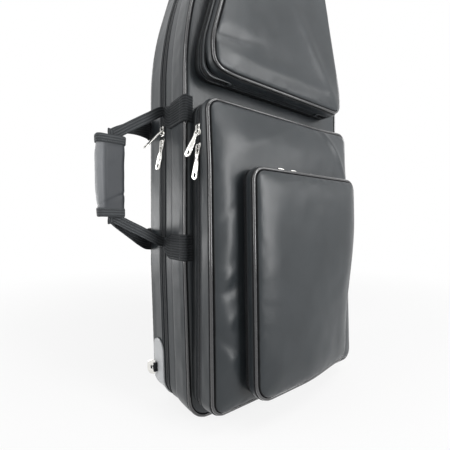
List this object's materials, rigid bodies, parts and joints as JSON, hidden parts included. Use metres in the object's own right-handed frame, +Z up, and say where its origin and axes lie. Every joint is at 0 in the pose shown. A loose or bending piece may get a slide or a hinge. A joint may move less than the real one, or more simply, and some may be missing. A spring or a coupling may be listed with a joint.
{
  "type": "bassoon case",
  "caption": "Upright soft-sided instrument case: two padded zipped halves with a fitted tray, three outside pockets and a side carry handle.",
  "frame": {"origin": "on the flat bottom of the back shell, midway across the width, under the middle of its side wall", "axes": "+Z up along the case, -Y towards the front with the pockets, +X towards the lid's hinge"},
  "size_m": [0.4752, 0.2044, 0.77],
  "materials": {
    "nylon": "satin woven nylon laminated to foam",
    "gloss_piping": "glossy vinyl piping",
    "webbing": "ribbed webbing",
    "zip_tape": "woven tape with moulded coil",
    "nickel": "bright nickel plate",
    "grip_vinyl": "padded coated cloth",
    "guard_plastic": "moulded, satin",
    "plush": "short-pile plush over foam"
  },
  "bodies": {
    "base": {"back_shell": "nylon", "back_piping": "gloss_piping", "back_zip_tape": "zip_tape", "lid_hinge_strip": "nylon", "fitted_tray": "plush", "corner_guard_left": "guard_plastic", "corner_guard_right": "guard_plastic", "left_ring_tab": "webbing", "right_ring_tab": "webbing", "rear_strap_anchor_upper": "webbing", "rear_strap_anchor_lower": "webbing"},
    "lid": {"lid_shell": "nylon", "lid_piping": "gloss_piping", "lid_zip_tape": "zip_tape", "lid_pad": "plush", "front_strap_anchor_upper": "webbing", "front_strap_anchor_lower": "webbing", "large_pocket_gusset": "nylon", "large_pocket_inner_tape": "zip_tape", "large_pocket_hinge_strip": "nylon", "upper_pocket_gusset": "nylon", "upper_pocket_inner_tape": "zip_tape", "upper_pocket_hinge_strip": "nylon"},
    "large_door": {"large_pocket_door": "nylon", "large_pocket_piping": "gloss_piping", "large_pocket_outer_tape": "zip_tape", "small_pocket_gusset": "nylon", "small_pocket_inner_tape": "zip_tape", "small_pocket_hinge_strip": "nylon"},
    "small_door": {"small_pocket_door": "nylon", "small_pocket_piping": "gloss_piping", "small_pocket_outer_tape": "zip_tape"},
    "upper_door": {"upper_pocket_door": "nylon", "upper_pocket_piping": "gloss_piping", "upper_pocket_outer_tape": "zip_tape"},
    "front_handle": {"front_handle_loop": "webbing", "grip_wrap": "grip_vinyl", "grip_binding_upper": "webbing", "grip_binding_lower": "webbing"},
    "rear_handle": {"rear_handle_loop": "webbing"},
    "left_ring": {"left_d_ring": "nickel"},
    "right_ring": {"right_d_ring": "nickel"},
    "main_slider_upper": {"main_slider_upper": "nickel"},
    "main_slider_upper_pull": {"main_slider_upper_pull": "nickel"},
    "main_slider_lower": {"main_slider_lower": "nickel"},
    "main_slider_lower_pull": {"main_slider_lower_pull": "nickel"},
    "large_slider_upper": {"large_slider_upper": "nickel"},
    "large_slider_upper_pull": {"large_slider_upper_pull": "nickel"},
    "large_slider_lower": {"large_slider_lower": "nickel"},
    "large_slider_lower_pull": {"large_slider_lower_pull": "nickel"},
    "small_slider_left": {"small_slider_left": "nickel"},
    "small_slider_left_pull": {"small_slider_left_pull": "nickel"},
    "small_slider_right": {"small_slider_right": "nickel"},
    "small_slider_right_pull": {"small_slider_right_pull": "nickel"},
    "upper_slider_left": {"upper_slider_left": "nickel"},
    "upper_slider_left_pull": {"upper_slider_left_pull": "nickel"},
    "upper_slider_right": {"upper_slider_right": "nickel"},
    "upper_slider_right_pull": {"upper_slider_right_pull": "nickel"}
  },
  "joints": [
    {"name": "lid_swing", "type": "hinge", "parent": "base", "child": "lid", "pos_m": [0.18, -0.037, 0.265], "axis": [0, 0, 1], "range_deg": [0, 135]},
    {"name": "large_door_swing", "type": "hinge", "parent": "lid", "child": "large_door", "pos_m": [0.15, -0.1255, 0.244], "axis": [0, 0, 1], "range_deg": [0, 110]},
    {"name": "small_door_fold", "type": "hinge", "parent": "large_door", "child": "small_door", "pos_m": [0, -0.1655, 0.048], "axis": [1, 0, 0], "range_deg": [0, 90]},
    {"name": "upper_door_fold", "type": "hinge", "parent": "lid", "child": "upper_door", "pos_m": [0, -0.125, 0.494], "axis": [1, 0, 0], "range_deg": [0, 100]},
    {"name": "front_handle_swing", "type": "hinge", "parent": "lid", "child": "front_handle", "pos_m": [-0.1826, -0.0455, 0.354], "axis": [0, 0, 1], "range_deg": [0, 50]},
    {"name": "rear_handle_swing", "type": "hinge", "parent": "base", "child": "rear_handle", "pos_m": [-0.1806, 0.017, 0.354], "axis": [0, 0, -1], "range_deg": [0, 50]},
    {"name": "left_ring_swing", "type": "hinge", "parent": "base", "child": "left_ring", "pos_m": [-0.17888, -0.002, 0.04431], "axis": [0.0355, 0, -0.9994], "range_deg": [-110, 25]},
    {"name": "right_ring_swing", "type": "hinge", "parent": "base", "child": "right_ring", "pos_m": [0.1853, -0.002, 0.0445], "axis": [0, 0, 1], "range_deg": [-110, 25]},
    {"name": "main_slider_upper_travel", "type": "slide", "parent": "base", "child": "main_slider_upper", "axis": [0, 0, 1], "range_m": [0, 0.03]},
    {"name": "main_slider_upper_pull_swing", "type": "hinge", "parent": "main_slider_upper", "child": "main_slider_upper_pull", "pos_m": [-0.18245, -0.037, 0.433], "axis": [0, -1, 0], "range_deg": [-128, 6]},
    {"name": "main_slider_lower_travel", "type": "slide", "parent": "base", "child": "main_slider_lower", "axis": [0, 0, 1], "range_m": [-0.169, 0]},
    {"name": "main_slider_lower_pull_swing", "type": "hinge", "parent": "main_slider_lower", "child": "main_slider_lower_pull", "pos_m": [-0.18245, -0.037, 0.413], "axis": [0, 1, 0], "range_deg": [-8, 37]},
    {"name": "large_slider_upper_travel", "type": "slide", "parent": "lid", "child": "large_slider_upper", "axis": [0, 0, 1], "range_m": [0, 0.015]},
    {"name": "large_slider_upper_pull_swing", "type": "hinge", "parent": "large_slider_upper", "child": "large_slider_upper_pull", "pos_m": [-0.16945, -0.1255, 0.416], "axis": [0, -1, 0], "range_deg": [-145, 3]},
    {"name": "large_slider_lower_travel", "type": "slide", "parent": "lid", "child": "large_slider_lower", "axis": [0, 0, 1], "range_m": [-0.32, 0]},
    {"name": "large_slider_lower_pull_swing", "type": "hinge", "parent": "large_slider_lower", "child": "large_slider_lower_pull", "pos_m": [-0.16945, -0.1255, 0.389], "axis": [0, 1, 0], "range_deg": [-8, 30]},
    {"name": "small_slider_left_travel", "type": "slide", "parent": "large_door", "child": "small_slider_left", "axis": [1, 0, 0], "range_m": [-0.04, 0]},
    {"name": "small_slider_left_pull_swing", "type": "hinge", "parent": "small_slider_left", "child": "small_slider_left_pull", "pos_m": [-0.04788, -0.1655, 0.36545], "axis": [0, 1, 0], "range_deg": [0, 100]},
    {"name": "small_slider_right_travel", "type": "slide", "parent": "large_door", "child": "small_slider_right", "axis": [1, 0, 0], "range_m": [0, 0.105]},
    {"name": "small_slider_right_pull_swing", "type": "hinge", "parent": "small_slider_right", "child": "small_slider_right_pull", "pos_m": [-0.02016, -0.1655, 0.36545], "axis": [0, -1, 0], "range_deg": [0, 100]},
    {"name": "upper_slider_left_travel", "type": "slide", "parent": "lid", "child": "upper_slider_left", "axis": [1, 0, 0], "range_m": [-0.029, 0]},
    {"name": "upper_slider_left_pull_swing", "type": "hinge", "parent": "upper_slider_left", "child": "upper_slider_left_pull", "pos_m": [-0.029, -0.125, 0.74745], "axis": [0, 1, 0], "range_deg": [0, 100]},
    {"name": "upper_slider_right_travel", "type": "slide", "parent": "lid", "child": "upper_slider_right", "axis": [1, 0, 0], "range_m": [0, 0.029]},
    {"name": "upper_slider_right_pull_swing", "type": "hinge", "parent": "upper_slider_right", "child": "upper_slider_right_pull", "pos_m": [0.001, -0.125, 0.74745], "axis": [0, -1, 0], "range_deg": [0, 100]}
  ]
}
